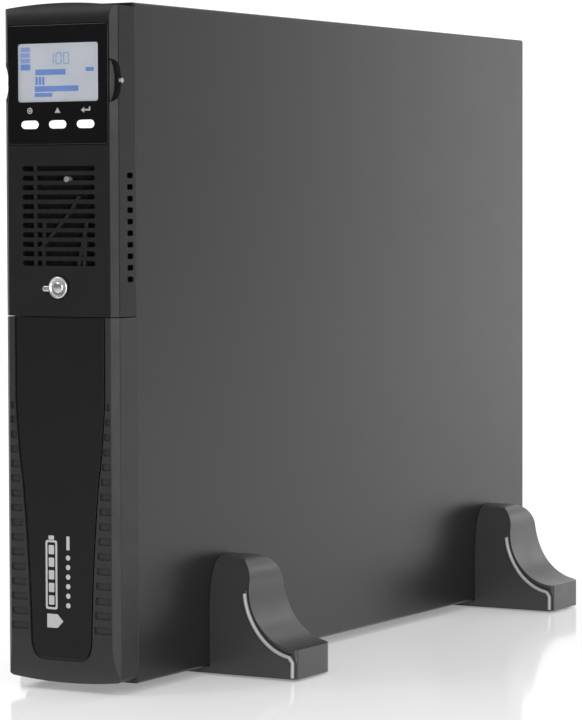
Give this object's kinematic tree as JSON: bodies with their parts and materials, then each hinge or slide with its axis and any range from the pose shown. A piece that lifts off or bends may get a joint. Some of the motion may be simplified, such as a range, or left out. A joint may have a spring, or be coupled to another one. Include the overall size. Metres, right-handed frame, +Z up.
{
  "type": "uninterruptible power supply",
  "caption": "Tall narrow backup power unit standing on two pairs of flared feet, with a square display module, air grille, and a pull-off front cover over a sliding battery tray.",
  "frame": {"origin": "middle of the footprint on the floor: the bottom centre of the bounding box", "axes": "+X to the right of someone facing the front, +Y from the front to the rear along the case, +Z up"},
  "size_m": [0.225, 0.6184, 0.446],
  "materials": {
    "case_steel": "matte",
    "inner_steel": "satin",
    "bezel_plastic": "satin",
    "cover_plastic": "matte",
    "inset_plastic": "satin",
    "module_gloss": "gloss",
    "window_clear": "gloss",
    "screen": "satin",
    "key_white": "satin",
    "badge_chrome": "polished",
    "board_green": "satin",
    "sink_aluminium": "satin",
    "winding_copper": "satin",
    "battery_case": "matte",
    "foam": "matte",
    "ferrite": "matte",
    "can_sleeve": "satin",
    "socket_black": "satin",
    "connector_grey": "satin",
    "terminal_green": "satin",
    "connector_red": "satin",
    "foot_plastic": "matte",
    "pad_rubber": "matte",
    "lead_rubber": "satin"
  },
  "bodies": {
    "root": {"outer_cover": "case_steel", "chassis_base": "case_steel", "front_frame": "inner_steel", "rear_panel": "case_steel", "bay_divider": "inner_steel", "upper_bezel": "bezel_plastic", "badge": "badge_chrome", "status_lens": "window_clear", "battery_socket": "connector_red", "main_board": "board_green", "heatsink_1": "sink_aluminium", "heatsink_2": "sink_aluminium", "choke_1": "winding_copper", "choke_2": "winding_copper", "bus_capacitor_1": "can_sleeve", "bus_capacitor_2": "can_sleeve", "transformer": "ferrite", "fan_frame": "socket_black", "fan_guard": "badge_chrome", "power_inlet": "socket_black", "outlet_block_lower": "socket_black", "outlet_block_upper": "socket_black", "breaker_body": "socket_black", "serial_port": "connector_grey", "usb_port": "inner_steel", "terminal_block": "terminal_green", "slot_cover": "case_steel", "ground_stud": "inner_steel", "front_foot_right": "foot_plastic", "front_foot_left": "foot_plastic", "rear_foot_right": "foot_plastic", "rear_foot_left": "foot_plastic", "front_pad_right": "pad_rubber", "front_pad_left": "pad_rubber", "rear_pad_right": "pad_rubber", "rear_pad_left": "pad_rubber"},
    "display": {"display_housing": "module_gloss", "display_window": "window_clear", "lcd_panel": "screen", "display_board": "board_green", "display_back": "module_gloss"},
    "key_left": {"button_left": "key_white"},
    "key_middle": {"button_middle": "key_white"},
    "key_right": {"button_right": "key_white"},
    "lower_front": {"battery_cover": "cover_plastic", "cover_inset": "inset_plastic"},
    "tray": {"battery_tray": "inner_steel", "battery_1": "battery_case", "battery_2": "battery_case", "battery_3": "battery_case", "battery_4": "battery_case", "battery_5": "battery_case", "battery_6": "battery_case", "battery_spacer": "foam", "tray_retainer": "inner_steel", "tray_handle": "badge_chrome", "battery_plug": "connector_red", "battery_lead": "lead_rubber"},
    "fan": {"fan_rotor": "socket_black"},
    "breaker": {"breaker_button": "key_white"}
  },
  "joints": [
    {"name": "display_pull", "type": "slide", "parent": "root", "child": "display", "axis": [0, -1, 0], "range_m": [0, 0.02]},
    {"name": "key_left_press", "type": "slide", "parent": "display", "child": "key_left", "axis": [0, 1, 0], "range_m": [0, 0.001], "stiffness_N_per_m": 1500, "springref_m": -0.0003},
    {"name": "key_middle_press", "type": "slide", "parent": "display", "child": "key_middle", "axis": [0, 1, 0], "range_m": [0, 0.001], "stiffness_N_per_m": 1500, "springref_m": -0.0003},
    {"name": "key_right_press", "type": "slide", "parent": "display", "child": "key_right", "axis": [0, 1, 0], "range_m": [0, 0.001], "stiffness_N_per_m": 1500, "springref_m": -0.0003},
    {"name": "battery_slide", "type": "slide", "parent": "root", "child": "tray", "axis": [0, -1, 0], "range_m": [0, 0.25]},
    {"name": "cover_pull", "type": "slide", "parent": "root", "child": "lower_front", "axis": [0, -1, 0], "range_m": [0, 0.35]},
    {"name": "fan_spin", "type": "hinge", "parent": "root", "child": "fan", "pos_m": [0, 0.2823, 0.398], "axis": [0, 1, 0], "continuous": true},
    {"name": "breaker_trip", "type": "slide", "parent": "root", "child": "breaker", "axis": [0, 1, 0], "range_m": [0, 0.003]}
  ],
  "couplings": [
    {"joint": "cover_pull", "follows": "battery_slide", "ratio": 1.4}
  ]
}
